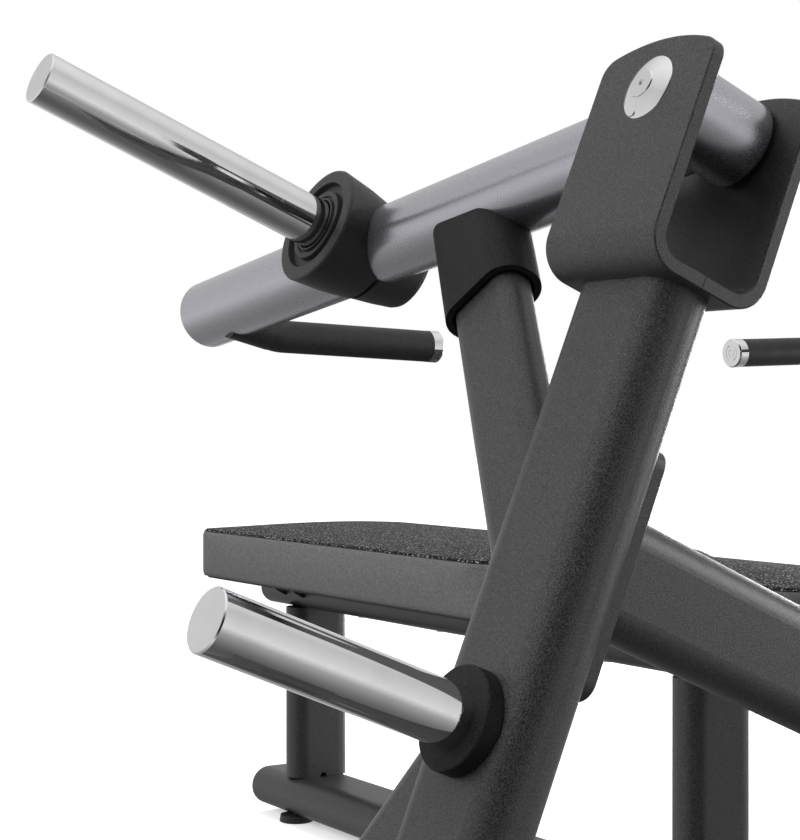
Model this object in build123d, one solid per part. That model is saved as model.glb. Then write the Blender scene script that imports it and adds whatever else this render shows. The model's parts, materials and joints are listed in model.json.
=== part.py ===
from build123d import *
import os

# Plate-loaded lying press machine: a flat bench between two leaning side frames,
# each with a lever arm that swings up on its own pivot.
# Millimetres, +Z up, floor at Z = 0. X runs across the machine (mid-plane X = 0) and
# +Y runs from the pivots towards the foot end of the bench. The left half is built
# and the right half is its mirror image.

os.makedirs("parts", exist_ok=True)

# ---------- driving dimensions ----------
LEAN = 22.5               # lean of each side frame, and of its pivot axis
PIVOT_X = 449.0           # pivot centre from the mid-plane
PIVOT_Y = -724.0          # pivot line; puts the machine's middle at Y = 0
PIVOT_Z = 878.0           # pivot height

POST_T = 60.0             # main post section: thickness, along the pivot axis
POST_W = 120.0            # main post section: width, along Y
POST_R = 26.0             # main post section: corner radius
POST_TOP = -154.0         # post's top end, below the pivot along the post
BRANCH_T = 40.0           # rest column and rear leg section
BRANCH_W = 80.0
BRANCH_R = 18.0
REST_ROOT = -410.0        # where the rest column's line meets the post's line
REST_ANGLE = 39.5         # rest column from the post, tilted to the rear
REST_LENGTH = 375.0
REST_CUP_START = 335.0    # lower edge of the rubber cup, along the rest column
CUP_WALL = 9.0            # cup beyond the column on each side
CUP_R = 26.0
CUP_LIP_GAP = 3.0         # open gap round the column inside the cup's lower edge
CUP_LIP_DEPTH = 12.0
REST_GAP = 0.5            # rubber cup to arm, at rest
LEG_ROOT = -489.0         # where the rear leg's line meets the post's line
LEG_ANGLE = 28.3
BEAM_T = 50.0             # columns, bench rail and cross braces
BEAM_W = 100.0
BEAM_R = 24.9
WALL = 4.0                # tube wall

SPINE_H = 60.0            # floor tubes: height, lying flat
SPINE_W = 120.0
SPINE_R = 29.9
FOOT_H = 11.0             # rubber foot height, so the floor tubes' underside
FOOT_R = 27.0
FOOT_SCREW_R = 4.0
FOOT_SIDE = 34.0          # spine feet from the mid-plane
FOOT_FROM_FRONT = 60.0    # spine feet from the spine's ends
FOOT_FROM_REAR = 96.0
BASE_FOOT_INSET = 45.0    # side base feet from the tube's ends
FLOOR_TOP = FOOT_H + SPINE_H
SPINE_FRONT = PIVOT_Y - 10.0
SPINE_REAR = PIVOT_Y + 1548.0
SIDE_BASE_X = 784.0
SIDE_BASE_FRONT = PIVOT_Y - 100.0
SIDE_BASE_REAR = PIVOT_Y + 300.0
CAP_T = 12.0              # plastic end cap, visible length
PLUG_DEPTH = 18.0

CENTRE_POST_Y = PIVOT_Y + 61.0
FRONT_COLUMN_Y = PIVOT_Y + 508.0
REAR_COLUMN_Y = PIVOT_Y + 1450.0
RAIL_BOTTOM = 337.0
RAIL_TOP = RAIL_BOTTOM + BEAM_T
RAIL_FRONT = PIVOT_Y + 15.0
RAIL_REAR = PIVOT_Y + 1535.0
VENT_R = 6.0

PAD_HEAD = PIVOT_Y + 250.0
PAD_FOOT = PIVOT_Y + 1504.0
PAD_WIDE = 181.0          # half width at the hips
PAD_NARROW = 112.0        # half width at the head
PAD_TAPER_REAR = PIVOT_Y + 735.0
PAD_TAPER_FRONT = PIVOT_Y + 625.0
PAD_BOTTOM = RAIL_TOP + 2.0
PAD_TOP = 461.0
PAD_EDGE_R = 9.0          # soft top edge
PAD_CORNER_R = 26.0       # plan corners
PAD_WAIST_R = 60.0        # plan bends at the taper
BOARD_T = 14.0
BOARD_INSET = 8.0
BRACKET_YS = (PAD_HEAD + 90.0, PAD_HEAD + 500.0, PAD_FOOT - 104.0, PAD_FOOT - 44.0)
BRACKET_REACH = 96.0      # gusset's outer end from the mid-plane
BRACKET_T = 6.0
PAD_BOLT_YS = (PAD_HEAD + 60.0, PAD_HEAD + 450.0, PAD_FOOT - 420.0, PAD_FOOT - 200.0)
PAD_BOLT_R = 4.0
PAD_BOLT_REACH = 8.0      # bolt thread inside the board

PLATE_T = 12.0            # clevis and flange plates
PLATE_EDGE = 1.2          # softened edges of the plates
CLEVIS_OUT = 60.0         # clevis outer face from its middle
CLEVIS_HALF_W = 70.0
CLEVIS_TOP = 44.0         # clevis top above the pivot
CLEVIS_SIDE_TOP = 31.0    # height of the clevis's top arc at its edges
CLEVIS_BEND_R = 30.0
CLEVIS_CORNER_R = 18.0
SEAM = 0.6                # gap between the two clevis halves

ARM_R = 38.0
ARM_DROP = 9.43           # arm's slope down from the pivot, at rest
ARM_LENGTH = 818.0
ARM_WALL = 5.0
HOUSING_R = 38.0
HOUSING_HALF = 45.6
BEARING_R = 31.0          # standard 62 x 30 x 16 ball bearing
BEARING_W = 16.0
SHAFT_R = 15.0
RUNNING_GAP = 0.05
CAP_R = 28.0
CAP_RIM = 3.0             # straight wall at the pivot cap's edge
CAP_DOME = 9.3            # dome's height where the button stands on it
CAP_MID = (6.7, 20.5)     # height and radius half way up the dome
CAP_H = 10.5
BUTTON_R = 12.5
SOCKET_R = 2.6            # hexagon socket, half its width across flats
SOCKET_DEPTH = 3.0
WASHER_R = 26.0

HORN_R = 25.0             # 50 mm weight-plate horns
HORN_WALL = 4.0
SPIGOT_R = 21.0           # turned-down root of a horn, inside its hub
HORN_GROOVE = 4.0         # depth of the open groove round the lever horn in its hub
LEVER_HORN_AT = 485.3     # distance along the arm
LEVER_HORN_TIP = 380.0    # horn tip from the arm's middle plane
HUB_FACE = 66.0           # hub face from the arm's middle plane
HUB_R = 60.5
CLAMP_END = 55.0          # inboard end of the clamp from the arm's middle plane
STORAGE_HORN_AT = -520.0  # storage horn below the pivot, along the post
STORAGE_HORN_TIP = 265.0
STORAGE_HUB_R = 42.0
STORAGE_HUB_T = 15.0

HANDLE_Y = PIVOT_Y + 736.0
HANDLE_ROOT = (-505.0, 744.0)    # X, Z inside the arm tube
HANDLE_BEND = (-446.0, 728.6)
HANDLE_TIP = (-232.0, 720.3)
HANDLE_BEND_R = 70.0
BAR_R = 14.0
GRIP_R = 18.5
SOCKET_R = 19.0
SOCKET_END = 50.0         # end of the welded socket, along the handle
GRIP_CAP_T = 14.0

FLANGE_LOW = -477.0       # brace flange plate on the post's inner face
FLANGE_HIGH = -272.0
FLANGE_W = 84.0
FLANGE_CORNER_R = 16.0
FLANGE_BOLT_R = 6.0
FLANGE_BOLT_INSET = 25.0  # bolts from the flange's ends
BRACE_AT = -372.0         # brace centre line, along the post
BRACE_YAW = 5.8

# ---------- frames ----------
SIDE = Pos(-PIVOT_X, PIVOT_Y, PIVOT_Z) * Rot(0, LEAN, 0)   # x inboard, y rear, z up the post
ARM = SIDE * Rot(-ARM_DROP, 0, 0)                          # y along the arm
REST = SIDE * Pos(0, 0, REST_ROOT) * Rot(-REST_ANGLE, 0, 0)
LEG = SIDE * Pos(0, 0, LEG_ROOT) * Rot(180 + LEG_ANGLE, 0, 0)
ALONG_X = Rot(0, 90, 0)
ALONG_Y = Rot(-90, 0, 0)


def section(thick, wide, radius):
    """Rounded tube section: thick along x, wide along y."""
    return RectangleRounded(thick, wide, radius)


def tube(thick, wide, radius, length, wall=WALL):
    """Hollow tube along +Z from the origin."""
    outer = extrude(section(thick, wide, radius), length)
    inner = extrude(section(thick - 2 * wall, wide - 2 * wall, radius - wall), length)
    return outer - inner


def rod(radius, start, end, edge=0.0):
    """Solid round bar along x, with softened end edges."""
    bar = Pos((start + end) / 2, 0, 0) * ALONG_X * Cylinder(radius, abs(end - start))
    return chamfer(bar.edges().filter_by(GeomType.CIRCLE), edge) if edge else bar


def slab(x, y, z):
    """Box from three (low, high) pairs."""
    size = [pair[1] - pair[0] for pair in (x, y, z)]
    middle = [(pair[0] + pair[1]) / 2 for pair in (x, y, z)]
    return Pos(*middle) * Box(*size)


def upright(radius, low, high):
    """Solid round pin along Z at the origin."""
    return Pos(0, 0, low) * Cylinder(radius, high - low, align=(Align.CENTER, Align.CENTER, Align.MIN))


def along_y(radius, start, end):
    """Solid round bar along y."""
    return Pos(0, (start + end) / 2, 0) * ALONG_Y * Cylinder(radius, abs(end - start))


def above(height):
    """Everything above a level plane."""
    return slab((-2000, 2000), (-2000, 2000), (height, height + 3000))


def revolved(profile):
    """Turn an (x, radius) outline about the x axis."""
    face = make_face(Polyline(*[(x, 0, r) for x, r in profile], close=True))
    return revolve(face, Axis.X, 360)


def largest(shape):
    return max(shape.solids(), key=lambda one: one.volume)


def write(name, shape):
    """One STEP for one node, its loose solids kept apart."""
    solids = shape if isinstance(shape, list) else shape.solids()
    whole = solids[0] if len(solids) == 1 else Compound(children=list(solids))
    export_step(whole, f"parts/{name}.step")


def mirrored(shape):
    if isinstance(shape, list):
        return [mirrored(one) for one in shape]
    return mirror(shape, about=Plane.YZ)


def write_pair(name, shape):
    write(f"{name}_left", shape)
    write(f"{name}_right", mirrored(shape))


# ---------- floor and bench frame ----------
def foot_places():
    """Centre of every rubber foot: four under the spine, two under each side base."""
    spine_ys = (SPINE_FRONT + FOOT_FROM_FRONT, SPINE_REAR - FOOT_FROM_REAR)
    base_ys = (SIDE_BASE_FRONT + BASE_FOOT_INSET, SIDE_BASE_REAR - BASE_FOOT_INSET)
    spots = [(side * FOOT_SIDE, y) for side in (-1, 1) for y in spine_ys]
    return spots + [(side * SIDE_BASE_X, y) for side in (-1, 1) for y in base_ys]


def floor_tube(x, front, rear):
    """Flat tube along Y standing on its feet, open ended, drilled for the foot screws."""
    place = Pos(x, front, FOOT_H + SPINE_H / 2) * ALONG_Y
    body = place * tube(SPINE_W, SPINE_H, SPINE_R, rear - front)
    for foot_x, foot_y in foot_places():
        if abs(foot_x - x) < SPINE_W / 2:
            body -= Pos(foot_x, foot_y, 0) * upright(FOOT_SCREW_R + 0.1, FOOT_H - 1, FOOT_H + 2 * WALL)
    return body


def end_cap(x, y, z, wide, high, radius, outward):
    """Plastic insert: a flange on the tube's end and a plug inside it."""
    gap = WALL + 0.3
    flange = extrude(section(wide, high, radius), CAP_T)
    flange = fillet(flange.faces().sort_by(Axis.Z)[-1].edges(), CAP_T * 0.7)
    plug_section = section(wide - 2 * gap, high - 2 * gap, radius - gap)
    plug = Pos(0, 0, -PLUG_DEPTH) * extrude(plug_section, PLUG_DEPTH)
    turn = ALONG_Y if outward > 0 else Rot(90, 0, 0)
    return Pos(x, y, z) * turn * (flange + plug)


def column(y, top):
    """Upright from the spine to the given height, with small vent notches."""
    body = Pos(0, y, FLOOR_TOP) * tube(BEAM_W, BEAM_T, BEAM_R, top - FLOOR_TOP)
    for z in (FLOOR_TOP, top):
        body -= Pos(0, y - BEAM_T / 2, z) * ALONG_Y * Cylinder(VENT_R, 3 * WALL)
    return body


def bench_rail_block():
    """Solid envelope of the bench rail, a little longer than the tube."""
    place = Pos(0, RAIL_FRONT - 5, RAIL_BOTTOM + BEAM_T / 2) * ALONG_Y
    return place * extrude(section(BEAM_W, BEAM_T, BEAM_R), RAIL_REAR - RAIL_FRONT + 10)


def bench_rail():
    """Flat tube under the pad, drilled right through for the pad bolts."""
    place = Pos(0, RAIL_FRONT, RAIL_BOTTOM + BEAM_T / 2) * ALONG_Y
    body = place * tube(BEAM_W, BEAM_T, BEAM_R, RAIL_REAR - RAIL_FRONT)
    for y in PAD_BOLT_YS:
        body -= Pos(0, y, 0) * upright(PAD_BOLT_R + 0.1, RAIL_BOTTOM - 1, RAIL_TOP + 1)
    return body


def rubber_foot(x, y):
    """Round foot with a pocket for its screw head."""
    body = Cone(FOOT_R, FOOT_R - 2, FOOT_H, align=(Align.CENTER, Align.CENTER, Align.MIN))
    body = fillet(body.edges().sort_by(Axis.Z)[0], 2)
    pocket = upright(9, -1, 6)
    bore = upright(FOOT_SCREW_R + 0.1, 0, FOOT_H + 1)
    return Pos(x, y, 0) * (body - pocket - bore)


def foot_screw(x, y):
    return Pos(x, y, 0) * (upright(8, 2, 6) + upright(FOOT_SCREW_R, 5, FOOT_H + WALL + 3))


# ---------- bench ----------
def pad_outline(inset=0.0):
    """Pad plan with rounded corners, wide at the hips and narrow at the head."""
    wide = PAD_WIDE - inset
    narrow = PAD_NARROW - inset
    head = PAD_HEAD + inset
    foot = PAD_FOOT - inset
    left = [(-wide, foot), (-wide, PAD_TAPER_REAR), (-narrow, PAD_TAPER_FRONT), (-narrow, head)]
    right = [(-x, y) for x, y in reversed(left)]
    face = make_face(Polyline(*left, *right, close=True))
    ends = [v for v in face.vertices() if v.Y > foot - 1 or v.Y < head + 1]
    face = fillet(ends, PAD_CORNER_R - inset)
    waist = [v for v in face.vertices() if PAD_TAPER_FRONT - 1 < v.Y < PAD_TAPER_REAR + 1]
    return fillet(waist, PAD_WAIST_R)


def bench_pad():
    pad = Pos(0, 0, PAD_BOTTOM) * extrude(pad_outline(), PAD_TOP - PAD_BOTTOM)
    pad = fillet(pad.faces().sort_by(Axis.Z)[-1].edges(), PAD_EDGE_R)
    pocket = Pos(0, 0, PAD_BOTTOM) * extrude(pad_outline(BOARD_INSET), BOARD_T - 2.0)
    return pad - pocket


def pad_board():
    """Plywood base inside the cushion, with blind holes for the pad bolts."""
    board = Pos(0, 0, RAIL_TOP) * extrude(pad_outline(BOARD_INSET + 0.3), BOARD_T - 0.3)
    for y in PAD_BOLT_YS:
        board -= Pos(0, y, RAIL_TOP) * upright(PAD_BOLT_R + 0.1, -1, PAD_BOLT_REACH + 1)
    return board


def pad_bracket(y):
    """Pair of triangular gussets from the rail's sides to the board."""
    inner = BEAM_W / 2 - 6
    low = RAIL_BOTTOM + BEAM_T / 2 - 6
    outline = make_face(Polyline(
        (inner, RAIL_TOP), (BRACKET_REACH, RAIL_TOP), (BRACKET_REACH, RAIL_TOP - BRACKET_T),
        (inner + 8, low), (inner, low), close=True))
    plate = Pos(0, y + BRACKET_T / 2, 0) * extrude(Plane.XZ * outline, BRACKET_T)
    right = largest(plate - bench_rail_block())
    return [right, mirrored(right)]


def pad_bolt(y):
    """Hex bolt up through the rail into the board."""
    head = extrude(RegularPolygon(7.5, 6), 5.5)
    return Pos(0, y, RAIL_BOTTOM - 5.5) * (head + upright(PAD_BOLT_R, 5, 5.5 + BEAM_T + PAD_BOLT_REACH))


# ---------- side frames ----------
def post_block():
    """Solid envelope of the main post, long enough to cross the floor tube."""
    return SIDE * Pos(0, 0, POST_TOP - 900) * extrude(section(POST_T, POST_W, POST_R), 900)


def flange_bolt_heights():
    return (FLANGE_LOW + FLANGE_BOLT_INSET, FLANGE_HIGH - FLANGE_BOLT_INSET)


def main_post():
    """Leaning post cut level on the floor tube, drilled on its inner face for the flange bolts."""
    height = 900
    body = Pos(0, 0, POST_TOP - height) * tube(POST_T, POST_W, POST_R, height)
    for z in flange_bolt_heights():
        body -= Pos(0, 0, z) * rod(FLANGE_BOLT_R + 0.1, POST_T / 2 - 2 * WALL, POST_T / 2 + 1)
    return largest((SIDE * body) & above(FLOOR_TOP))


def rest_column():
    body = REST * tube(BRANCH_T, BRANCH_W, BRANCH_R, REST_LENGTH)
    return largest(body - post_block())


def rear_leg():
    body = LEG * tube(BRANCH_T, BRANCH_W, BRANCH_R, 700)
    return largest((body - post_block()) & above(FLOOR_TOP))


def clevis_half(side):
    """Bent plate: an upright ear and half of the floor of the clevis. side -1 is outboard."""
    inner = CLEVIS_OUT - PLATE_T
    low = POST_TOP
    outline = make_face(Polyline(
        (side * CLEVIS_OUT, 80), (side * CLEVIS_OUT, low), (side * SEAM / 2, low),
        (side * SEAM / 2, low + PLATE_T), (side * inner, low + PLATE_T), (side * inner, 80), close=True))
    corners = outline.vertices()
    outline = fillet([v for v in corners if abs(abs(v.X) - CLEVIS_OUT) < 0.1 and abs(v.Y - low) < 0.1],
                     CLEVIS_BEND_R)
    corners = outline.vertices()
    outline = fillet([v for v in corners if abs(abs(v.X) - inner) < 0.1 and abs(v.Y - low - PLATE_T) < 0.1],
                     CLEVIS_BEND_R - PLATE_T)
    body = Pos(0, CLEVIS_HALF_W, 0) * extrude(Plane.XZ * outline, 2 * CLEVIS_HALF_W)
    body = largest((body & clevis_profile()) - rod(SHAFT_R + 0.1, -2 * CLEVIS_OUT, 2 * CLEVIS_OUT))
    ear_faces = sorted(body.faces(), key=lambda one: -one.area)[:2]
    bore_edges = body.edges().filter_by(GeomType.CIRCLE).filter_by(lambda one: one.radius < SHAFT_R + 1)
    rims = [edge for face in ear_faces for edge in face.edges() if edge not in bore_edges]
    return SIDE * chamfer(rims, PLATE_EDGE)


def clevis_profile():
    """Side view of the clevis ears: straight sides and a gently domed top."""
    w = CLEVIS_HALF_W
    low = POST_TOP - 1
    edges = [Line((-w, low), (w, low)), Line((w, low), (w, CLEVIS_SIDE_TOP)),
             ThreePointArc((w, CLEVIS_SIDE_TOP), (0, CLEVIS_TOP), (-w, CLEVIS_SIDE_TOP)),
             Line((-w, CLEVIS_SIDE_TOP), (-w, low))]
    face = make_face(edges)
    face = fillet([v for v in face.vertices() if abs(v.Y - CLEVIS_SIDE_TOP) < 0.1], CLEVIS_CORNER_R)
    return Pos(-2 * CLEVIS_OUT, 0, 0) * extrude(Plane.YZ * face, 4 * CLEVIS_OUT)


def brace_flange():
    """Long plate with rounded corners on the post's inner face."""
    mid = (FLANGE_LOW + FLANGE_HIGH) / 2
    face = RectangleRounded(FLANGE_W, FLANGE_HIGH - FLANGE_LOW, FLANGE_CORNER_R)
    plate = Pos(POST_T / 2, 0, mid) * extrude(Plane.YZ * face, PLATE_T)
    plate = chamfer(plate.faces().sort_by(Axis.X)[-1].edges(), PLATE_EDGE)
    for z in flange_bolt_heights():
        plate -= Pos(0, 0, z) * rod(FLANGE_BOLT_R + 0.1, POST_T / 2 - 1, POST_T / 2 + PLATE_T + 1)
    return SIDE * plate


def flange_bolt(z):
    head = Pos(POST_T / 2 + PLATE_T, 0, 0) * extrude(Plane.YZ * RegularPolygon(11, 6), 8)
    shank = rod(FLANGE_BOLT_R, POST_T / 2 - 14, POST_T / 2 + PLATE_T + 1)
    return SIDE * Pos(0, 0, z) * (head + shank)


def cross_brace():
    """Flat tube from the flange down to the centre post."""
    start = SIDE * Pos(POST_T / 2 + PLATE_T, 0, BRACE_AT) * Rot(0, 0, BRACE_YAW) * ALONG_X
    body = start * Pos(0, 0, -40) * tube(BEAM_W, BEAM_T, BEAM_R, 760)
    keep = SIDE * slab((POST_T / 2 + PLATE_T, 900), (-400, 400), (-900, 0))
    centre = Pos(0, CENTRE_POST_Y, FLOOR_TOP) * extrude(section(BEAM_W, BEAM_T, BEAM_R), RAIL_BOTTOM)
    body = (body & keep & slab((-900, 0), (-1500, 1500), (FLOOR_TOP, 900))) - centre - bench_rail_block()
    return min(body.solids(), key=lambda one: one.bounding_box().min.X)


def rest_cup():
    """Rubber sleeve over the rest column's top, hollowed where the arm lies in it."""
    outer = section(BRANCH_T + 2 * CUP_WALL, BRANCH_W + 2 * CUP_WALL, CUP_R)
    lip = section(BRANCH_T + 2 * CUP_LIP_GAP, BRANCH_W + 2 * CUP_LIP_GAP, BRANCH_R + CUP_LIP_GAP)
    body = Pos(0, 0, REST_CUP_START) * extrude(outer, 220)
    body -= extrude(section(BRANCH_T, BRANCH_W, BRANCH_R), REST_LENGTH)
    body -= Pos(0, 0, REST_CUP_START - 1) * extrude(lip, CUP_LIP_DEPTH + 1)
    body = (REST * body) - ARM * along_y(ARM_R + REST_GAP, -50, 650)
    return min(body.solids(), key=lambda one: one.bounding_box().min.Z)


def storage_hub():
    face = POST_T / 2 + STORAGE_HUB_T
    body = rod(STORAGE_HUB_R, -face, -POST_T / 2)
    body = fillet(body.faces().sort_by(Axis.X)[0].edges(), 2)
    body -= rod(SPIGOT_R, -face - 5, 0)
    return SIDE * Pos(0, 0, STORAGE_HORN_AT) * body


def horn(root, shoulder, tip):
    """Chromed plate horn pointing outboard: closed tip, hollow body and a spigot at its root."""
    body = rod(HORN_R, shoulder, tip)
    body = chamfer(body.faces().sort_by(Axis.X)[0].edges(), 1.2)
    body += rod(SPIGOT_R, root, shoulder)
    return body - rod(SPIGOT_R - HORN_WALL, root + 5, tip + 8)


def storage_horn():
    hub_face = POST_T / 2 + STORAGE_HUB_T
    return SIDE * Pos(0, 0, STORAGE_HORN_AT) * horn(-POST_T / 2, -hub_face, -STORAGE_HORN_TIP)


# ---------- pivots ----------
def pivot_shaft():
    return SIDE * rod(SHAFT_R, -CLEVIS_OUT, CLEVIS_OUT, 1)


def pivot_cap(side):
    """Domed cap with a straight rim, a raised button and a hexagon socket."""
    face = CLEVIS_OUT
    rim = (face + CAP_RIM, 0, CAP_R)
    button = (face + CAP_DOME, 0, BUTTON_R)
    top = face + CAP_H
    edges = (Polyline((face, 0, 0), (face, 0, CAP_R), rim)
             + ThreePointArc(rim, (face + CAP_MID[0], 0, CAP_MID[1]), button)
             + Polyline(button, (top, 0, BUTTON_R), (top, 0, 0), (face, 0, 0)))
    cap = revolve(make_face(edges), Axis.X, 360)
    socket = Plane(origin=(top - SOCKET_DEPTH, 0, 0), z_dir=(1, 0, 0)) * RegularPolygon(
        SOCKET_R, 6, major_radius=False)
    cap -= extrude(socket, SOCKET_DEPTH + 1)
    return SIDE * (cap if side > 0 else mirror(cap, about=Plane.YZ))


def pivot_washer(side):
    """Thrust washer on the ear's inner face."""
    low = HOUSING_HALF + 0.4
    ring = rod(WASHER_R, low, CLEVIS_OUT - PLATE_T) - rod(SHAFT_R + 0.1, low - 1, CLEVIS_OUT)
    return SIDE * (ring if side > 0 else mirror(ring, about=Plane.YZ))


# ---------- arm ----------
def pivot_housing():
    outer = rod(HOUSING_R, -HOUSING_HALF, HOUSING_HALF)
    outer = fillet(outer.edges().filter_by(GeomType.CIRCLE), 4)
    body = outer - rod(BEARING_R, -HOUSING_HALF - 1, HOUSING_HALF + 1)
    return SIDE * body


def pivot_bearing(side):
    edge = HOUSING_HALF - 1.6
    ring = rod(BEARING_R, edge - BEARING_W, edge) - rod(SHAFT_R + RUNNING_GAP, 0, HOUSING_HALF + 5)
    ring -= rod(BEARING_R - 4.5, edge - 1.2, edge + 1) - rod(SHAFT_R + 5, edge - 2, edge + 2)
    return SIDE * (ring if side > 0 else mirror(ring, about=Plane.YZ))


def arm_tube():
    """Lever tube from the pivot housing to its closed, softly rounded end."""
    body = along_y(ARM_R, 0, ARM_LENGTH)
    body = fillet(body.faces().sort_by(Axis.Y)[-1].edges(), 5)
    body -= along_y(ARM_R - ARM_WALL, 0, ARM_LENGTH - 8)
    body = largest(body - rod(HOUSING_R, -2 * HOUSING_R, 2 * HOUSING_R))
    body -= Pos(0, LEVER_HORN_AT, 0) * rod(SPIGOT_R, -60, 0)
    return largest(ARM * body - handle_block())


def hub_frame():
    """At the lever horn, with the hub's axis along x."""
    return ARM * Pos(0, LEVER_HORN_AT, 0)


def horn_hub():
    """Tapered hub cup over the outboard side of the arm, with a stepped face."""
    face = -HUB_FACE
    sides = [(-2, 0), (-2, 52), (-30, 57), (face + 3, HUB_R), (face + 0.9, HUB_R - 0.9), (face, HUB_R - 3)]
    recess = [(face, 46.5), (face + 6, 45.5), (face + 6, 37.5)]
    boss = [(face + 0.5, 36.5), (face + 0.5, 31.5), (face + 2.5, 31), (face + 2.5, 29)]
    collar = [(face - 1, 28.6), (face - 1, 26.6), (face + HORN_GROOVE, 26.6), (face + HORN_GROOVE, 0)]
    body = revolved(sides + recess + boss + collar)
    body -= rod(SPIGOT_R, face - 5, 5)
    body -= along_y(ARM_R, -150, 150)
    return largest(hub_frame() * body)


def hub_clamp():
    """Inboard half of the hub, clamped round the arm tube."""
    end = CLAMP_END
    profile = [(3, 0), (3, 50), (28, 45), (end - 7, 40), (end - 2.5, 37.5), (end, 32), (end, 0)]
    body = revolved(profile) - along_y(ARM_R, -150, 150)
    return largest(hub_frame() * body)


def lever_horn():
    return hub_frame() * horn(-ARM_R + 2, -HUB_FACE + HORN_GROOVE, -LEVER_HORN_TIP)


def handle_path():
    """Handle centre line in the plane Y = HANDLE_Y, with its one bend."""
    points = [(x, HANDLE_Y, z) for x, z in (HANDLE_ROOT, HANDLE_BEND, HANDLE_TIP)]
    return FilletPolyline(*points, radius=HANDLE_BEND_R)


def along_handle(radius, start, end, inner=0.0):
    """Round solid or sleeve along the handle between two distances from its root."""
    path = handle_path()
    length = path.length
    piece = path.trim(start / length, end / length)
    mouth = Plane(origin=piece @ 0, z_dir=piece % 0)
    face = mouth * Circle(radius)
    if inner:
        face -= mouth * Circle(inner)
    return sweep(face, path=piece)


def handle_length():
    return handle_path().length


def handle_block():
    return along_handle(SOCKET_R, 0, SOCKET_END)


def handle_bar():
    """Bar with a thicker welded socket where it leaves the arm."""
    bar = along_handle(BAR_R, 0, handle_length() - GRIP_CAP_T)
    return largest(bar + handle_block())


def handle_grip():
    return along_handle(GRIP_R, SOCKET_END + 0.5, handle_length() - GRIP_CAP_T, BAR_R)


def grip_cap():
    """Turned end cap with two fine rings on its face."""
    path = handle_path()
    direction = path % 1
    place = Plane(origin=path @ 1 - direction * GRIP_CAP_T, z_dir=direction)
    cap = upright(GRIP_R + 0.5, 0, GRIP_CAP_T)
    cap = chamfer(cap.faces().sort_by(Axis.Z)[-1].edges(), 1.5)
    for radius in (5.0, 10.5):
        outer = upright(radius, GRIP_CAP_T - 0.6, GRIP_CAP_T + 1)
        cap -= outer - upright(radius - 0.8, GRIP_CAP_T - 1, GRIP_CAP_T + 2)
    return place * cap


# ---------- write every node ----------
def write_frame():
    write("base_spine", floor_tube(0, SPINE_FRONT, SPINE_REAR))
    spine_z = FOOT_H + SPINE_H / 2
    write("spine_end_caps", [end_cap(0, SPINE_FRONT, spine_z, SPINE_W, SPINE_H, SPINE_R, -1),
                             end_cap(0, SPINE_REAR, spine_z, SPINE_W, SPINE_H, SPINE_R, 1)])
    write("centre_post", column(CENTRE_POST_Y, RAIL_BOTTOM))
    write("front_column", column(FRONT_COLUMN_Y, RAIL_BOTTOM))
    write("rear_column", column(REAR_COLUMN_Y, RAIL_BOTTOM))
    write("bench_rail", bench_rail())
    rail_z = RAIL_BOTTOM + BEAM_T / 2
    write("rail_end_caps", [end_cap(0, RAIL_FRONT, rail_z, BEAM_W, BEAM_T, BEAM_R, -1),
                            end_cap(0, RAIL_REAR, rail_z, BEAM_W, BEAM_T, BEAM_R, 1)])
    write("pad_brackets", [one for y in BRACKET_YS for one in pad_bracket(y)])
    write("pad_board", pad_board())
    write("bench_pad", bench_pad())
    write("pad_bolts", [pad_bolt(y) for y in PAD_BOLT_YS])
    write("rubber_feet", [rubber_foot(x, y) for x, y in foot_places()])
    write("foot_screws", [foot_screw(x, y) for x, y in foot_places()])


def write_side_frames():
    write_pair("side_base", floor_tube(-SIDE_BASE_X, SIDE_BASE_FRONT, SIDE_BASE_REAR))
    base_z = FOOT_H + SPINE_H / 2
    caps = [end_cap(-SIDE_BASE_X, SIDE_BASE_FRONT, base_z, SPINE_W, SPINE_H, SPINE_R, -1),
            end_cap(-SIDE_BASE_X, SIDE_BASE_REAR, base_z, SPINE_W, SPINE_H, SPINE_R, 1)]
    write("side_base_caps", caps + mirrored(caps))
    write_pair("main_post", main_post())
    write_pair("rest_column", rest_column())
    write_pair("rear_leg", rear_leg())
    write_pair("clevis_outer", clevis_half(-1))
    write_pair("clevis_inner", clevis_half(1))
    write_pair("brace_flange", brace_flange())
    bolts = [flange_bolt(z) for z in flange_bolt_heights()]
    write("flange_bolts", bolts + mirrored(bolts))
    write_pair("cross_brace", cross_brace())
    write_pair("rest_cup", rest_cup())
    write_pair("storage_hub", storage_hub())
    write_pair("storage_horn", storage_horn())
    write_pair("pivot_shaft", pivot_shaft())
    caps = [pivot_cap(-1), pivot_cap(1)]
    write("pivot_caps", caps + mirrored(caps))
    washers = [pivot_washer(-1), pivot_washer(1)]
    write("pivot_washers", washers + mirrored(washers))


def write_arms():
    write_pair("arm_tube", arm_tube())
    write_pair("pivot_housing", pivot_housing())
    write_pair("pivot_bearings", [pivot_bearing(-1), pivot_bearing(1)])
    write_pair("horn_hub", horn_hub())
    write_pair("hub_clamp", hub_clamp())
    write_pair("lever_horn", lever_horn())
    write_pair("handle_bar", handle_bar())
    write_pair("handle_grip", handle_grip())
    write_pair("grip_cap", grip_cap())


write_frame()
write_side_frames()
write_arms()
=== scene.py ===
import json
import math

import bmesh
import bpy
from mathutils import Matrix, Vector
from mathutils.bvhtree import BVHTree


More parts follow.
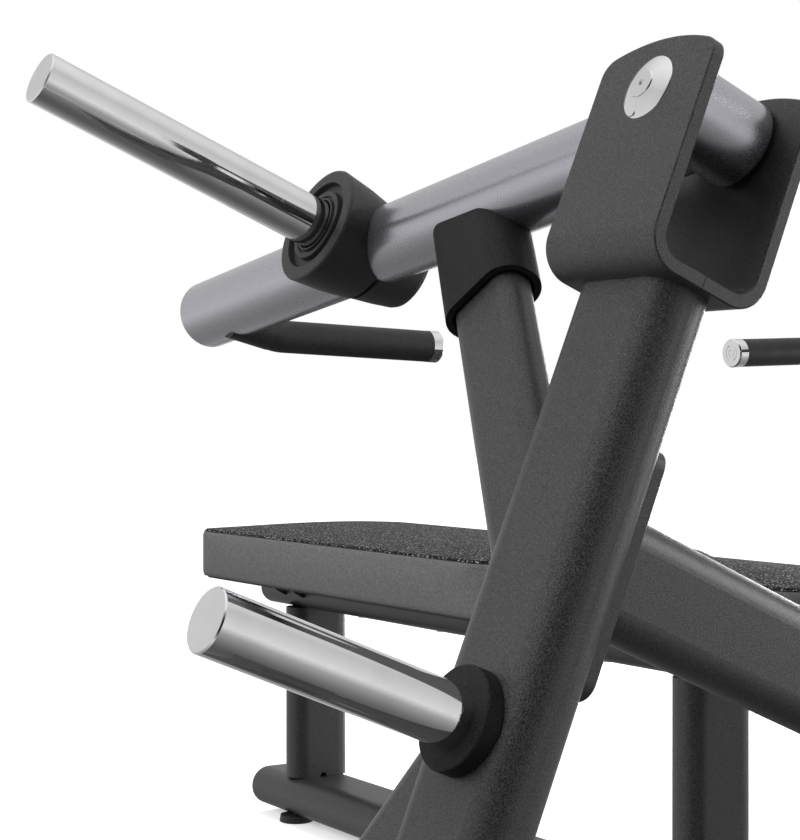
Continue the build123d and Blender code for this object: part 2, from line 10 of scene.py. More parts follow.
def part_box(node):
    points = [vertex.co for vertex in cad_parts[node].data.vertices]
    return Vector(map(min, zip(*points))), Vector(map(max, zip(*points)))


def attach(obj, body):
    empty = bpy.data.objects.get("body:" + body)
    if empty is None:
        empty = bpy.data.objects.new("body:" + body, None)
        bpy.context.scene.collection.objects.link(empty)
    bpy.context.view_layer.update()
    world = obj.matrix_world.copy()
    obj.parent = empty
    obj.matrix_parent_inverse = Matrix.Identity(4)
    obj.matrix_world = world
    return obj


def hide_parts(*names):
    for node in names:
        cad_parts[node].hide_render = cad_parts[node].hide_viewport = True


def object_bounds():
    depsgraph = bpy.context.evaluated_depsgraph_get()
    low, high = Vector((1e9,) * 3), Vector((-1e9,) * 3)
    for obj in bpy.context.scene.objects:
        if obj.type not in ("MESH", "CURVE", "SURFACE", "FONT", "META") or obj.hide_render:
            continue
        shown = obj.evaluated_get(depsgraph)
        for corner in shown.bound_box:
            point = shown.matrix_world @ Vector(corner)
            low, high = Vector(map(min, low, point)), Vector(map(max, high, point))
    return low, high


# Looks for the lying press machine: upholstery, powder coat, metallic lever tubes, chrome and rubber.
# Metres, in the frame of the CAD model.

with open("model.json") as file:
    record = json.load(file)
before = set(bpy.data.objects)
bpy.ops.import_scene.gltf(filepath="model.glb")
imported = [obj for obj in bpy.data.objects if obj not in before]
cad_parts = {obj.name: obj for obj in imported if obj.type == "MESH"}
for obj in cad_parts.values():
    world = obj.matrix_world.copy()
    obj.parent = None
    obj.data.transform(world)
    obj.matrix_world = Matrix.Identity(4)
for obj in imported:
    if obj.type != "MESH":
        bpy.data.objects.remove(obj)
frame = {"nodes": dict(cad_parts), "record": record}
cad_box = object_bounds()
nodes = frame["nodes"]
scene = bpy.context.scene


# ---------- material helpers ----------
def new_material(name):
    mat = bpy.data.materials.new(name)
    mat.use_nodes = True
    return mat, mat.node_tree, mat.node_tree.nodes["Principled BSDF"]


def add(tree, kind, inputs=None, **settings):
    """A node with its settings, and its inputs given as values or as sockets to link."""
    made = tree.nodes.new(kind)
    for key, value in settings.items():
        setattr(made, key, value)
    for key, value in (inputs or {}).items():
        if isinstance(value, bpy.types.NodeSocket):
            tree.links.new(value, made.inputs[key])
        else:
            made.inputs[key].default_value = value
    return made


def object_coordinates(tree):
    return add(tree, "ShaderNodeTexCoord").outputs["Object"]


def noise(tree, coordinates, scale, detail=2.0, roughness=0.5):
    inputs = {"Vector": coordinates, "Scale": scale, "Detail": detail, "Roughness": roughness}
    return add(tree, "ShaderNodeTexNoise", inputs).outputs["Fac"]


def ranged(tree, value, low, high, to_low, to_high, smooth=False):
    """value mapped from low..high to to_low..to_high."""
    kind = "SMOOTHSTEP" if smooth else "LINEAR"
    inputs = {"Value": value, "From Min": low, "From Max": high, "To Min": to_low, "To Max": to_high}
    return add(tree, "ShaderNodeMapRange", inputs, interpolation_type=kind).outputs["Result"]


def mixed(tree, factor, first, second):
    made = add(tree, "ShaderNodeMix", data_type="RGBA")
    for index, value in ((0, factor), (6, first), (7, second)):
        if isinstance(value, bpy.types.NodeSocket):
            tree.links.new(value, made.inputs[index])
        else:
            made.inputs[index].default_value = value
    return made.outputs[2]


def grey(level, tint=(1.0, 1.0, 1.0)):
    return (level * tint[0], level * tint[1], level * tint[2], 1.0)


def math_node(tree, operation, first, second=0.0):
    return add(tree, "ShaderNodeMath", {0: first, 1: second}, operation=operation).outputs[0]


def bumped(tree, height, strength, distance, normal=None):
    inputs = {"Height": height, "Strength": strength, "Distance": distance}
    if normal is not None:
        inputs["Normal"] = normal
    return add(tree, "ShaderNodeBump", inputs).outputs["Normal"]


# ---------- materials ----------
# Scales of noise and cell textures are features per metre, and bump distances are metres.
def powder_coat():
    """Fine-textured charcoal powder coat: millimetre grain, broad mottling and a light sparkle."""
    mat, tree, shader = new_material("charcoal_powder_coat")
    where = object_coordinates(tree)
    grain = noise(tree, where, 820.0, 1.0, 0.9)
    patch = noise(tree, where, 14.0, 2.0)
    fleck = ranged(tree, noise(tree, where, 900.0, 1.0), 0.62, 0.74, 0.0, 0.6, smooth=True)
    body = mixed(tree, ranged(tree, grain, 0.41, 0.59, 0.0, 1.0), grey(0.012), grey(0.054))
    body = mixed(tree, ranged(tree, patch, 0.3, 0.7, 0.0, 0.2), body, grey(0.042))
    body = mixed(tree, fleck, body, grey(0.13))
    tree.links.new(body, shader.inputs["Base Color"])
    tree.links.new(ranged(tree, grain, 0.3, 0.7, 0.34, 0.48), shader.inputs["Roughness"])
    tree.links.new(bumped(tree, grain, 0.4, 0.0005), shader.inputs["Normal"])
    shader.inputs["Specular IOR Level"].default_value = 0.5
    return mat


def silver_coat():
    """Metallic silver-violet paint over the lever tubes, with mica sparkle under a thin clear coat."""
    mat, tree, shader = new_material("metallic_silver_coat")
    where = object_coordinates(tree)
    mica = noise(tree, where, 1000.0, 1.0, 0.6)
    patch = noise(tree, where, 9.0, 2.0)
    violet = (1.0, 0.98, 1.07)
    body = mixed(tree, ranged(tree, mica, 0.36, 0.66, 0.0, 1.0), grey(0.45, violet),
                 grey(0.57, (1.0, 0.98, 1.06)))
    body = mixed(tree, ranged(tree, patch, 0.35, 0.65, 0.0, 0.2), body, grey(0.46, violet))
    tree.links.new(body, shader.inputs["Base Color"])
    tree.links.new(ranged(tree, mica, 0.3, 0.7, 0.22, 0.30), shader.inputs["Roughness"])
    tree.links.new(bumped(tree, mica, 0.06, 0.0002), shader.inputs["Normal"])
    shader.inputs["Metallic"].default_value = 0.92
    shader.inputs["Coat Weight"].default_value = 0.15
    shader.inputs["Coat Roughness"].default_value = 0.25
    return mat


def chrome(lean):
    """Polished chrome with faint hairline scratches along and across the horn."""
    mat, tree, shader = new_material("polished_chrome")
    mirrored = add(tree, "ShaderNodeVectorMath", {0: object_coordinates(tree)}, operation="ABSOLUTE")
    turned = add(tree, "ShaderNodeMapping", {"Vector": mirrored.outputs[0], "Rotation": (0.0, -lean, 0.0)})
    along = add(tree, "ShaderNodeMapping", {"Vector": turned.outputs[0], "Scale": (4.0, 260.0, 260.0)})
    across = add(tree, "ShaderNodeMapping", {"Vector": turned.outputs[0], "Scale": (300.0, 22.0, 22.0),
                                             "Rotation": (0.2, 0.3, 0.5)})
    wear = ranged(tree, noise(tree, along.outputs[0], 1.0, 3.0, 0.6), 0.55, 0.85, 0.0, 1.0)
    cracks = add(tree, "ShaderNodeTexVoronoi", {"Vector": turned.outputs[0], "Scale": 70.0},
                 feature="DISTANCE_TO_EDGE").outputs["Distance"]
    worn = ranged(tree, noise(tree, turned.outputs[0], 26.0, 1.0), 0.58, 0.64, 0.0, 1.0)
    hairs = math_node(tree, "MULTIPLY", ranged(tree, cracks, 0.0, 0.012, 1.0, 0.0), worn)
    marks = ranged(tree, noise(tree, across.outputs[0], 1.0, 1.0), 0.72, 0.80, 0.0, 1.0)
    marks = math_node(tree, "MAXIMUM", marks, hairs)
    smear = noise(tree, turned.outputs[0], 30.0, 3.0, 0.6)
    rough = ranged(tree, smear, 0.3, 0.75, 0.035, 0.10)
    rough = math_node(tree, "ADD", rough, math_node(tree, "MULTIPLY", wear, 0.06))
    rough = math_node(tree, "ADD", rough, math_node(tree, "MULTIPLY", marks, 0.15))
    tree.links.new(rough, shader.inputs["Roughness"])
    tone = mixed(tree, ranged(tree, smear, 0.3, 0.75, 0.0, 1.0), grey(0.86, (1.0, 1.0, 1.01)), grey(0.78))
    tree.links.new(tone, shader.inputs["Base Color"])
    height = math_node(tree, "ADD", math_node(tree, "MULTIPLY", wear, 0.3), marks)
    tree.links.new(bumped(tree, height, 0.05, 0.0001), shader.inputs["Normal"])
    shader.inputs["Metallic"].default_value = 1.0
    return mat


def satin_black(name, dark, light, gloss):
    """Satin black enamel over cast and turned parts, with faint casting texture."""
    mat, tree, shader = new_material(name)
    where = object_coordinates(tree)
    cast = noise(tree, where, 700.0, 2.0, 0.8)
    body = mixed(tree, ranged(tree, cast, 0.38, 0.62, 0.0, 1.0), grey(dark), grey(light))
    tree.links.new(body, shader.inputs["Base Color"])
    tree.links.new(ranged(tree, cast, 0.3, 0.7, 0.44, 0.58), shader.inputs["Roughness"])
    tree.links.new(bumped(tree, cast, 0.3, 0.0005), shader.inputs["Normal"])
    shader.inputs["Specular IOR Level"].default_value = gloss
    return mat


def rubber(name, cell, depth):
    """Matt black rubber with a moulded pebble texture."""
    mat, tree, shader = new_material(name)
    where = object_coordinates(tree)
    pebble = add(tree, "ShaderNodeTexVoronoi", {"Vector": where, "Scale": 1.0 / cell},
                 feature="SMOOTH_F1").outputs["Distance"]
    dust = noise(tree, where, 40.0, 4.0, 0.65)
    body = mixed(tree, ranged(tree, pebble, 0.1, 0.6, 0.0, 1.0), grey(0.030), grey(0.014))
    body = mixed(tree, ranged(tree, dust, 0.45, 0.75, 0.0, 0.35), body, grey(0.05))
    tree.links.new(body, shader.inputs["Base Color"])
    tree.links.new(ranged(tree, dust, 0.3, 0.7, 0.5, 0.68), shader.inputs["Roughness"])
    tree.links.new(bumped(tree, pebble, 0.45, depth), shader.inputs["Normal"])
    return mat


def plastic():
    """Moulded charcoal plastic with a fine spark-eroded skin."""
    mat, tree, shader = new_material("moulded_charcoal_plastic")
    where = object_coordinates(tree)
    skin = noise(tree, where, 1100.0, 2.0)
    body = mixed(tree, ranged(tree, skin, 0.35, 0.65, 0.0, 1.0), grey(0.040), grey(0.055))
    tree.links.new(body, shader.inputs["Base Color"])
    tree.links.new(ranged(tree, skin, 0.3, 0.7, 0.42, 0.55), shader.inputs["Roughness"])
    tree.links.new(bumped(tree, skin, 0.2, 0.0003), shader.inputs["Normal"])
    return mat


def steel():
    """Zinc-plated and ground steel."""
    mat, tree, shader = new_material("zinc_plated_steel")
    where = object_coordinates(tree)
    cloud = noise(tree, where, 120.0, 4.0, 0.6)
    tone = mixed(tree, ranged(tree, cloud, 0.3, 0.7, 0.0, 1.0), grey(0.42, (1.0, 1.0, 0.97)), grey(0.58))
    tree.links.new(tone, shader.inputs["Base Color"])
    tree.links.new(ranged(tree, cloud, 0.3, 0.7, 0.24, 0.42), shader.inputs["Roughness"])
    tree.links.new(bumped(tree, cloud, 0.1, 0.0002), shader.inputs["Normal"])
    shader.inputs["Metallic"].default_value = 1.0
    return mat


def plywood():
    """Black-stained birch plywood with long grain along the bench."""
    mat, tree, shader = new_material("black_stained_plywood")
    where = add(tree, "ShaderNodeMapping", {"Vector": object_coordinates(tree), "Scale": (60.0, 3.0, 60.0)})
    grain = noise(tree, where.outputs[0], 1.0, 5.0, 0.6)
    dark = (0.018, 0.015, 0.013, 1.0)
    light = (0.050, 0.044, 0.038, 1.0)
    tone = mixed(tree, ranged(tree, grain, 0.3, 0.7, 0.0, 1.0), dark, light)
    tree.links.new(tone, shader.inputs["Base Color"])
    tree.links.new(ranged(tree, grain, 0.3, 0.7, 0.6, 0.75), shader.inputs["Roughness"])
    tree.links.new(bumped(tree, grain, 0.2, 0.0004), shader.inputs["Normal"])
    return mat


def upholstery(seam_height):
    """Coarse-grained top panel above the seam, flecked with painted glints, and a paler, smoother side band
    below it.
    """
    mat, tree, shader = new_material("grained_upholstery")
    where = object_coordinates(tree)
    height = add(tree, "ShaderNodeSeparateXYZ", {"Vector": where}).outputs["Z"]
    on_top = ranged(tree, height, seam_height - 0.0004, seam_height + 0.0004, 0.0, 1.0)
    coarse = add(tree, "ShaderNodeTexVoronoi", {"Vector": where, "Scale": 420.0},
                 feature="SMOOTH_F1").outputs["Distance"]
    fine = noise(tree, where, 430.0, 2.0, 0.85)
    pores = noise(tree, where, 300.0, 3.0, 0.85)
    side_tone = mixed(tree, ranged(tree, fine, 0.36, 0.64, 0.0, 1.0), grey(0.115), grey(0.195))
    top_tone = mixed(tree, ranged(tree, pores, 0.46, 0.60, 0.0, 1.0), grey(0.003), grey(0.022))
    # Painted highlights: pale flecks in the top panel's colour stand in for glints off the bumps of its
    # grain.
    painted_glint = ranged(tree, noise(tree, where, 420.0, 1.0), 0.59, 0.66, 0.0, 1.0)
    top_tone = mixed(tree, painted_glint, top_tone, grey(0.340))
    tree.links.new(mixed(tree, on_top, side_tone, top_tone), shader.inputs["Base Color"])
    tree.links.new(ranged(tree, pores, 0.3, 0.7, 0.56, 0.72), shader.inputs["Roughness"])
    top_bump = math_node(tree, "MULTIPLY", math_node(tree, "ADD", coarse, pores), on_top)
    relief = math_node(tree, "ADD", top_bump, math_node(tree, "MULTIPLY", fine, 0.3))
    tree.links.new(bumped(tree, relief, 0.8, 0.0010), shader.inputs["Normal"])
    shader.inputs["Specular IOR Level"].default_value = 0.07
    return mat


def seam_thread():
    """Dark twisted thread in the seam."""
    mat, tree, shader = new_material("seam_thread")
    where = object_coordinates(tree)
    twist = add(tree, "ShaderNodeTexWave", {"Vector": where, "Scale": 260.0, "Distortion": 2.0},
                bands_direction="DIAGONAL").outputs["Fac"]
    tree.links.new(mixed(tree, twist, grey(0.006), grey(0.022)), shader.inputs["Base Color"])
    tree.links.new(bumped(tree, twist, 0.5, 0.0003), shader.inputs["Normal"])
    shader.inputs["Roughness"].default_value = 0.85
    return mat


FLOOR_BOUNCE = 0.25


def floor_finish():
    """Pale studio floor, faintly mottled, that gives the object less light than the camera sees."""
    mat, tree, shader = new_material("pale_studio_floor")
    where = object_coordinates(tree)
    mottle = noise(tree, where, 1.2, 4.0)
    tone = mixed(tree, ranged(tree, mottle, 0.3, 0.7, 0.0, 1.0), grey(0.90), grey(0.93))
    tree.links.new(tone, shader.inputs["Base Color"])
    tree.links.new(tone, shader.inputs["Emission Color"])
    tree.links.new(ranged(tree, mottle, 0.3, 0.7, 0.75, 0.85), shader.inputs["Roughness"])
    distance = add(tree, "ShaderNodeVectorMath", {0: where}, operation="LENGTH").outputs["Value"]
    glow = ranged(tree, distance, 1.5, 9.0, 0.45, 0.75, smooth=True)
    tree.links.new(glow, shader.inputs["Emission Strength"])
    shader.inputs["Specular IOR Level"].default_value = 0.2
    bounce = add(tree, "ShaderNodeEmission", {"Color": grey(1.0), "Strength": FLOOR_BOUNCE})
    seen = add(tree, "ShaderNodeLightPath").outputs["Is Camera Ray"]
    both = add(tree, "ShaderNodeMixShader", {0: seen, 1: bounce.outputs[0], 2: shader.outputs[0]})
    tree.links.new(both.outputs[0], tree.nodes["Material Output"].inputs["Surface"])
    return mat


# ---------- give every CAD node its finish ----------
LEAN = math.radians(22.5)   # rise of the horns and pivot axes above level
finish_of = {
    "powder_coat": powder_coat(),
    "silver_coat": silver_coat(),
    "chrome": chrome(LEAN),
    "satin_black": satin_black("satin_black_enamel", 0.012, 0.040, 0.5),
    "rubber": rubber("moulded_rubber", 0.0022, 0.0004),
    "black_plastic": plastic(),
    "steel": steel(),
    "plywood": plywood(),
}
# The storage hubs and rest cups are duller than the other parts in their slots.
dull_black = satin_black("dull_black_enamel", 0.009, 0.026, 0.10)
grip_rubber = rubber("grip_rubber", 0.0016, 0.0006)
for part in frame["record"]["subparts"]:
    shown = nodes[part["node"]]
    finish = finish_of.get(part["material_slot"])
    if part["node"].startswith("handle_grip"):
        finish = grip_rubber
    if part["node"].startswith(("storage_hub", "rest_cup")):
        finish = dull_black
    if finish is not None:
        for place in shown.material_slots:
            place.material = finish


# ---------- bench pad ----------
PAD_NARROW = 0.112          # half width at the head
TAPER_START = 0.375         # narrow part's length from the head
TAPER_END = 0.485           # full width starts here, from the head
PAD_CORNER = 0.026
PAD_WAIST = 0.060
PAD_LIFT = 0.001            # top edge above the CAD cushion's
PAD_CROWN = 0.0065
PAD_PLAIN_SIDE = 0.020      # lowest part of the side, which the crown doesn't stretch
PAD_END_FADE = 0.070        # length over which the crown dies away at each end
PAD_SEAM_DROP = 0.0035      # seam below the cushion's top at its edge
PAD_VOXEL = 0.0055
# Rings up the cushion's side: (share of its height, inset from its widest outline).
PAD_RINGS = [(0.0, 0.003), (0.04, 0.0), (0.5, 0.0), (0.95, 0.0), (0.98, 0.001), (1.0, 0.0035)]

STUFFING_PRESSURE = 4.0
STUFFING_STEPS = 20
STUFFING_CAP = 0.0025       # most that a point may move
HELD_BASE = 0.008           # height of the band held at the base
HELD_EDGE = 0.007           # reach of the band held at the sewn edge

PINCH_DEPTH = 0.0007
PINCH_REACH = 0.0020
THREAD_RADIUS = 0.0005
THREAD_SPACING = 0.004
THREAD_START = 0.03         # the search for the cushion's skin starts this far outside its outline
THREAD_SEARCH = 0.08        # and looks this far inwards


def rounded_outline(corners, radii, steps=8):
    """Closed outline with each corner replaced by an arc."""
    points = []
    count = len(corners)
    for index, (corner, radius) in enumerate(zip(corners, radii)):
        here = Vector(corner)
        back = (Vector(corners[index - 1]) - here).normalized()
        ahead = (Vector(corners[(index + 1) % count]) - here).normalized()
        half = back.angle(ahead) / 2
        reach = radius / math.tan(half)
        centre = here + (back + ahead).normalized() * (radius / math.sin(half))
        first = here + back * reach - centre
        last = here + ahead * reach - centre
        for step in range(steps + 1):
            points.append(centre + first.slerp(last, step / steps).normalized() * radius)
    return points


def pad_outline(low, high, inset=0.0):
    """Pad plan, wide at the hips and narrow at the head, inside the CAD cushion's box."""
    wide = high.x - inset
    narrow = PAD_NARROW - inset
    head = low.y + inset
    foot = high.y - inset
    taper_start = low.y + TAPER_START
    taper_end = low.y + TAPER_END
    left = [(-wide, foot), (-wide, taper_end), (-narrow, taper_start), (-narrow, head)]
    right = [(-x, y) for x, y in reversed(left)]
    ends = PAD_CORNER - inset
    radii = [ends, PAD_WAIST, PAD_WAIST, ends]
    return rounded_outline(left + right, radii + radii)


def lofted(name, rings):
    """Closed mesh through rings of the same count, capped at both ends."""
    shape = bmesh.new()
    loops = [[shape.verts.new(point) for point in ring] for ring in rings]
    for lower, upper in zip(loops, loops[1:]):
        for index in range(len(lower)):
            ahead = (index + 1) % len(lower)
            shape.faces.new((lower[index], lower[ahead], upper[ahead], upper[index]))
    shape.faces.new(list(reversed(loops[0])))
    shape.faces.new(loops[-1])
    bmesh.ops.recalc_face_normals(shape, faces=shape.faces)
    mesh = bpy.data.meshes.new(name)
    shape.to_mesh(mesh)
    shape.free()
    made = bpy.data.objects.new(name, mesh)
    scene.collection.objects.link(made)
    return made


def half_width(y, low, high):
    """Half width of the pad at a place along it."""
    share = (y - low.y - TAPER_START) / (TAPER_END - TAPER_START)
    return PAD_NARROW + (high.x - PAD_NARROW) * min(1.0, max(0.0, share))


def crown(mesh, low, high, base):
    """Raise the top between its edges, fading out at both ends."""
    for vertex in mesh.vertices:
        across = min(1.0, abs(vertex.co.x) / half_width(vertex.co.y, low, high))
        end = min(vertex.co.y - low.y, high.y - vertex.co.y)
        along = min(1.0, max(0.0, end / PAD_END_FADE))
        lift = (1 - across ** 2) * (1 - (1 - along) ** 2)
        share = min(1.0, max(0.0, (vertex.co.z - base) / (high.z - base)))
        vertex.co.z += PAD_CROWN * lift * share


def apply_modifiers(made):
    """The object's mesh with its modifiers worked in."""
    depsgraph = bpy.context.evaluated_depsgraph_get()
    worked = bpy.data.meshes.new_from_object(made.evaluated_get(depsgraph))
    made.modifiers.clear()
    made.data = worked


def stuff(made, floor_height, edge_height):
    """Blow the cushion up a little as cloth over foam, held at its base and sewn edge, then freeze it."""
    held = made.vertex_groups.new(name="held")
    for vertex in made.data.vertices:
        at_base = vertex.co.z < floor_height + HELD_BASE
        at_edge = abs(vertex.co.z - edge_height) < HELD_EDGE and abs(vertex.normal.z) < 0.97
        held.add([vertex.index], 1.0 if at_base or at_edge else 0.0, "REPLACE")
    rest = [vertex.co.copy() for vertex in made.data.vertices]
    cloth = made.modifiers.new("cloth", "CLOTH")
    cloth.settings.use_pressure = True
    cloth.settings.uniform_pressure_force = STUFFING_PRESSURE
    cloth.settings.effector_weights.gravity = 0.0
    cloth.settings.vertex_group_mass = "held"
    cloth.settings.quality = 4
    cloth.collision_settings.use_collision = False
    cloth.point_cache.frame_start = 1
    cloth.point_cache.frame_end = STUFFING_STEPS
    for step in range(1, STUFFING_STEPS + 1):
        scene.frame_set(step)
    apply_modifiers(made)
    for vertex, start in zip(made.data.vertices, rest):
        move = vertex.co - start
        if move.length > STUFFING_CAP:
            vertex.co = start + move * (STUFFING_CAP / move.length)
    scene.frame_set(1)


def tube_along(name, points, radius, sides=8):
    """Closed tube through a closed loop of points."""
    count = len(points)
    shape = bmesh.new()
    rings = []
    angles = [2 * math.pi * side / sides for side in range(sides)]
    for index, point in enumerate(points):
        ahead = (points[(index + 1) % count] - points[index - 1]).normalized()
        out = ahead.cross(Vector((0, 0, 1))).normalized()
        up = out.cross(ahead).normalized()
        ring = [point + (out * math.cos(angle) + up * math.sin(angle)) * radius for angle in angles]
        rings.append([shape.verts.new(place) for place in ring])
    for index in range(count):
        here, there = rings[index], rings[(index + 1) % count]
        for side in range(sides):
            ahead = (side + 1) % sides
            shape.faces.new((here[side], here[ahead], there[ahead], there[side]))
    bmesh.ops.recalc_face_normals(shape, faces=shape.faces)
    mesh = bpy.data.meshes.new(name)
    shape.to_mesh(mesh)
    shape.free()
    made = bpy.data.objects.new(name, mesh)
    scene.collection.objects.link(made)
    return made


def smooth(made):
    for face in made.data.polygons:
        face.use_smooth = True


def resampled(points, spacing):
    """Evenly spaced points round a closed flat outline."""
    loop = list(points) + [points[0]]
    lengths = [(b - a).length for a, b in zip(loop, loop[1:])]
    count = max(8, round(sum(lengths) / spacing))
    step = sum(lengths) / count
    found = []
    walked = 0.0
    index = 0
    for number in range(count):
        target = number * step
        while walked + lengths[index] < target:
            walked += lengths[index]
            index += 1
        share = (target - walked) / lengths[index] if lengths[index] > 0 else 0.0
        found.append(loop[index].lerp(loop[index + 1], share))
    return found


def make_pad():
    """Crowned bench cushion with a sewn seam round its top panel."""
    low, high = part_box("bench_pad")
    high = Vector((high.x, high.y, high.z + PAD_LIFT))
    rings = []
    for share, inset in PAD_RINGS:
        z = low.z + (high.z - low.z) * share
        rings.append([Vector((p.x, p.y, z)) for p in pad_outline(low, high, inset)])
    pad = lofted("bench_cushion", rings)
    remesh = pad.modifiers.new("even", "REMESH")
    remesh.mode = "VOXEL"
    remesh.voxel_size = PAD_VOXEL
    apply_modifiers(pad)
    crown(pad.data, low, high, low.z + PAD_PLAIN_SIDE)
    stuff(pad, low.z, high.z)
    seam_height = high.z - PAD_SEAM_DROP
    finer = pad.modifiers.new("finer", "SUBSURF")
    finer.levels = 1
    finer.render_levels = 1
    apply_modifiers(pad)
    pinch(pad.data, seam_height)
    smooth(pad)
    pad.data.materials.clear()
    pad.data.materials.append(upholstery(seam_height))
    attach(pad, "frame")
    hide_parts("bench_pad")
    make_seam(pad, low, high, seam_height)


def pinch(mesh, seam_height):
    """Draw the leather in along the seam."""
    normals = [vertex.normal.copy() for vertex in mesh.vertices]
    for vertex, normal in zip(mesh.vertices, normals):
        near = math.exp(-((vertex.co.z - seam_height) / PINCH_REACH) ** 2)
        if abs(normal.z) < 0.8 and near > 0.02:
            vertex.co -= Vector((normal.x, normal.y, 0.0)) * PINCH_DEPTH * near


def make_seam(pad, low, high, seam_height):
    """Thread lying in the pinched seam all round the cushion."""
    skin = BVHTree.FromPolygons([v.co for v in pad.data.vertices], [p.vertices for p in pad.data.polygons])
    outline = resampled(pad_outline(low, high), THREAD_SPACING)
    found = []
    for index, point in enumerate(outline):
        ahead = outline[(index + 1) % len(outline)] - outline[index - 1]
        out = Vector((ahead.y, -ahead.x)).normalized()
        start = Vector((point.x + out.x * THREAD_START, point.y + out.y * THREAD_START, seam_height))
        place = skin.ray_cast(start, Vector((-out.x, -out.y, 0.0)), THREAD_SEARCH)[0]
        if place is not None:
            found.append(place)
    seam = tube_along("bench_seam", found, THREAD_RADIUS)
    smooth(seam)
    seam.data.materials.append(seam_thread())
    seam.parent = pad


make_pad()


# ---------- pivot caps ----------
CAP_HEIGHT = 0.0105         # CAD cap's height over the clevis plate
CAP_SIDES = 96
SOCKET = 0.0026             # half the hexagon's width across its flats
CAP_FLAT = 0.9995           # faces whose normal is nearer the axis than this cosine are shaded flat
# Cap profile from its foot to its middle: (height, radius). The rings of the socket are hexagons.
CAP_PROFILE = [(0.0000, 0.0277), (0.0004, 0.0280), (0.0026, 0.0280), (0.0031, 0.0278), (0.0036, 0.0272),
               (0.0043, 0.0259), (0.0055, 0.0233), (0.0067, 0.0205), (0.0077, 0.0178), (0.0086, 0.0150),
               (0.0091, 0.0132), (0.0092, 0.0126), (0.0093, 0.0124), (0.0100, 0.0124), (0.0104, 0.0120),
               (CAP_HEIGHT, 0.0112), (CAP_HEIGHT, 0.0060)]
SOCKET_PROFILE = [(CAP_HEIGHT, SOCKET), (0.0104, SOCKET), (0.0075, SOCKET), (0.0075, 0.0004)]


def hexagonal(angle):
    """Radius of a hexagon one across its half flats, at this angle."""
    sixth = math.pi / 3
    return 1 / math.cos((angle + sixth / 2) % sixth - sixth / 2)


def turned_cap(name, foot, out):
    """Closed polished cap standing on foot and pointing out."""
    across = out.orthogonal().normalized()
    up = out.cross(across)
    rings = []
    angles = [2 * math.pi * side / CAP_SIDES for side in range(CAP_SIDES)]
    for height, radius in CAP_PROFILE + SOCKET_PROFILE:
        ring = []
        for angle in angles:
            reach = radius * (hexagonal(angle) if radius <= SOCKET else 1.0)
            ring.append(foot + out * height + (across * math.cos(angle) + up * math.sin(angle)) * reach)
        rings.append(ring)
    cap = lofted(name, rings)
    for face in cap.data.polygons:
        face.use_smooth = abs(face.normal.dot(out)) < CAP_FLAT
    cap.data.materials.append(finish_of["chrome"])
    return cap


def centred(points, line):
    """Part along line of the middle of these points."""
    spans = [point.dot(line) for point in points]
    return line * ((min(spans) + max(spans)) / 2)


def make_pivot_caps():
    """A turned cap on each end of both pivots, in place of the plain CAD caps."""
    points = [vertex.co for vertex in nodes["pivot_caps"].data.vertices]
    across = Vector((0.0, 1.0, 0.0))
    for side, place in (("left", -1), ("right", 1)):
        mine = [point for point in points if point.x * place > 0]
        for end, way in (("outer", 1), ("inner", -1)):
            out = Vector((place * math.cos(LEAN), 0.0, math.sin(LEAN))) * way
            reach = max(point.dot(out) for point in mine)
            foot = centred(mine, across) + centred(mine, out.cross(across)) + out * (reach - CAP_HEIGHT)
            cap = turned_cap("pivot_cap_" + side + "_" + end, foot, out)
            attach(cap, "frame")
            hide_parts("pivot_caps")


make_pivot_caps()


# ---------- studio ----------
def towards(tree, way, middle, edge, core):
    """1 inside a cone of directions, falling to 0 at its edge; both limits are cosines."""
    middle = Vector(middle).normalized()
    found = add(tree, "ShaderNodeVectorMath", {0: way, 1: middle}, operation="DOT_PRODUCT")
    return ranged(tree, found.outputs["Value"], edge, core, 0.0, 1.0, smooth=True)


# The studio's soft light by the height of the direction it comes from: (z of a unit direction, level).
ROOM = [(-1.0, 0.1), (-0.5, 0.4), (-0.2, 0.8), (0.5, 0.6), (1.0, 1.0)]
# A dark flag at the front left: the direction of its middle, and the cosines of its edge and core.
FLAG_MIDDLE = (-0.6, -0.8, 0.2)
FLAG_EDGE = 0.6
FLAG_CORE = 0.9
FLAG_LEVEL = 0.03


def banded(tree, height, bands):
    """Level by height, straight from one listed height to the next."""
    share = ranged(tree, height, -1.0, 1.0, 0.0, 1.0)
    ramp = add(tree, "ShaderNodeValToRGB", {"Fac": share})
    marks = ramp.color_ramp.elements
    while len(marks) < len(bands):
        marks.new(0.5)
    for mark, (z, level) in zip(marks, bands):
        mark.position = (z + 1.0) / 2.0
        mark.color = grey(level)
    return ramp.outputs["Color"]


def studio_world():
    """Soft white studio, dimmer towards the floor, with one dark flag at the front left."""
    world = bpy.data.worlds.new("studio")
    scene.world = world
    world.use_nodes = True
    tree = world.node_tree
    tree.nodes.clear()
    way = add(tree, "ShaderNodeTexCoord").outputs["Generated"]
    height = add(tree, "ShaderNodeSeparateXYZ", {"Vector": way}).outputs["Z"]
    flag = towards(tree, way, FLAG_MIDDLE, FLAG_EDGE, FLAG_CORE)
    level = mixed(tree, flag, banded(tree, height, ROOM), grey(FLAG_LEVEL))
    seen = add(tree, "ShaderNodeLightPath").outputs["Is Camera Ray"]
    light = add(tree, "ShaderNodeBackground", {"Color": mixed(tree, seen, level, grey(1.0))})
    out = add(tree, "ShaderNodeOutputWorld")
    tree.links.new(light.outputs[0], out.inputs["Surface"])


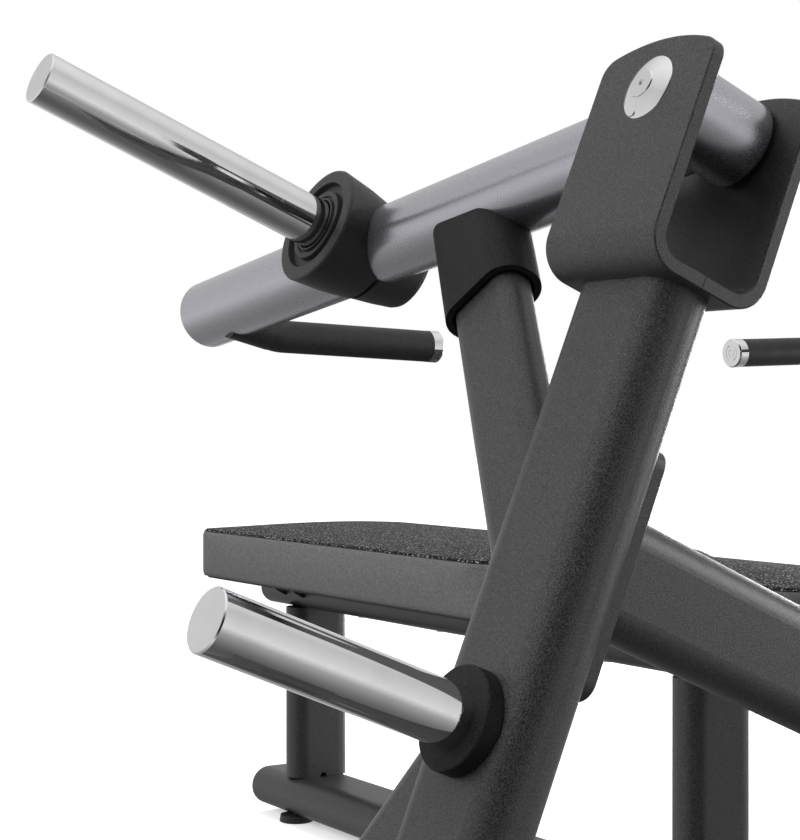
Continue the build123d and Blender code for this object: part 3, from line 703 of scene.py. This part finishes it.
def softbox(name, place, target, size, power, in_reflections=True):
    """Rectangular light facing its target, in metres and watts."""
    lamp = bpy.data.lights.new(name, "AREA")
    lamp.shape = "RECTANGLE"
    lamp.size, lamp.size_y = size
    lamp.energy = power
    made = bpy.data.objects.new(name, lamp)
    made.location = place
    made.rotation_euler = (Vector(target) - Vector(place)).to_track_quat("-Z", "Y").to_euler()
    made.visible_glossy = in_reflections
    scene.collection.objects.link(made)


FLOOR_REACH = 14.0          # to each side
FLOOR_FRONT = -3.4
FLOOR_BACK = 28.0


def studio_floor(low):
    """Flat floor under the machine's lowest point."""
    corners = [(-FLOOR_REACH, FLOOR_FRONT), (FLOOR_REACH, FLOOR_FRONT),
               (FLOOR_REACH, FLOOR_BACK), (-FLOOR_REACH, FLOOR_BACK)]
    shape = bmesh.new()
    shape.faces.new([shape.verts.new((x, y, low)) for x, y in corners])
    mesh = bpy.data.meshes.new("studio_floor")
    shape.to_mesh(mesh)
    shape.free()
    ground = bpy.data.objects.new("studio_floor", mesh)
    scene.collection.objects.link(ground)
    ground.data.materials.append(floor_finish())
    ground.visible_glossy = False


CAMERA_PLACE = (-1.4703, -1.9193, 0.6421)
CAMERA_DIP = 0.23           # degrees below level
CAMERA_TURN = -31.58        # degrees about +Z, from looking along +Y
CAMERA_LENS = 86.17         # millimetres
SENSOR_WIDTH = 36.0         # millimetres


def photo_camera():
    """Low three-quarter view from the front left."""
    lens = bpy.data.cameras.new("camera")
    lens.sensor_fit = "HORIZONTAL"
    lens.sensor_width = SENSOR_WIDTH
    lens.lens = CAMERA_LENS
    made = bpy.data.objects.new("camera", lens)
    made.location = CAMERA_PLACE
    made.rotation_euler = (math.radians(90.0 - CAMERA_DIP), 0.0, math.radians(CAMERA_TURN))
    scene.collection.objects.link(made)
    scene.camera = made


studio_world()
studio_floor(cad_box[0][2])
softbox("key_left", place=(-3.2, -0.3, 2.3), target=(-0.4, -0.1, 0.5), size=(2.2, 1.6), power=80,
        in_reflections=False)
softbox("rim_right", place=(2.8, -1.7, 1.1), target=(-0.4, -0.5, 0.5), size=(1.4, 1.8), power=45)
softbox("top_back", place=(0.6, 2.6, 3.0), target=(0.0, 0.0, 0.5), size=(2.5, 1.5), power=65,
        in_reflections=False)
softbox("edge_right", place=(3.0, 1.8, 0.6), target=(-0.4, -0.4, 0.5), size=(1.2, 1.6), power=60)
photo_camera()
scene.view_settings.view_transform = "Standard"
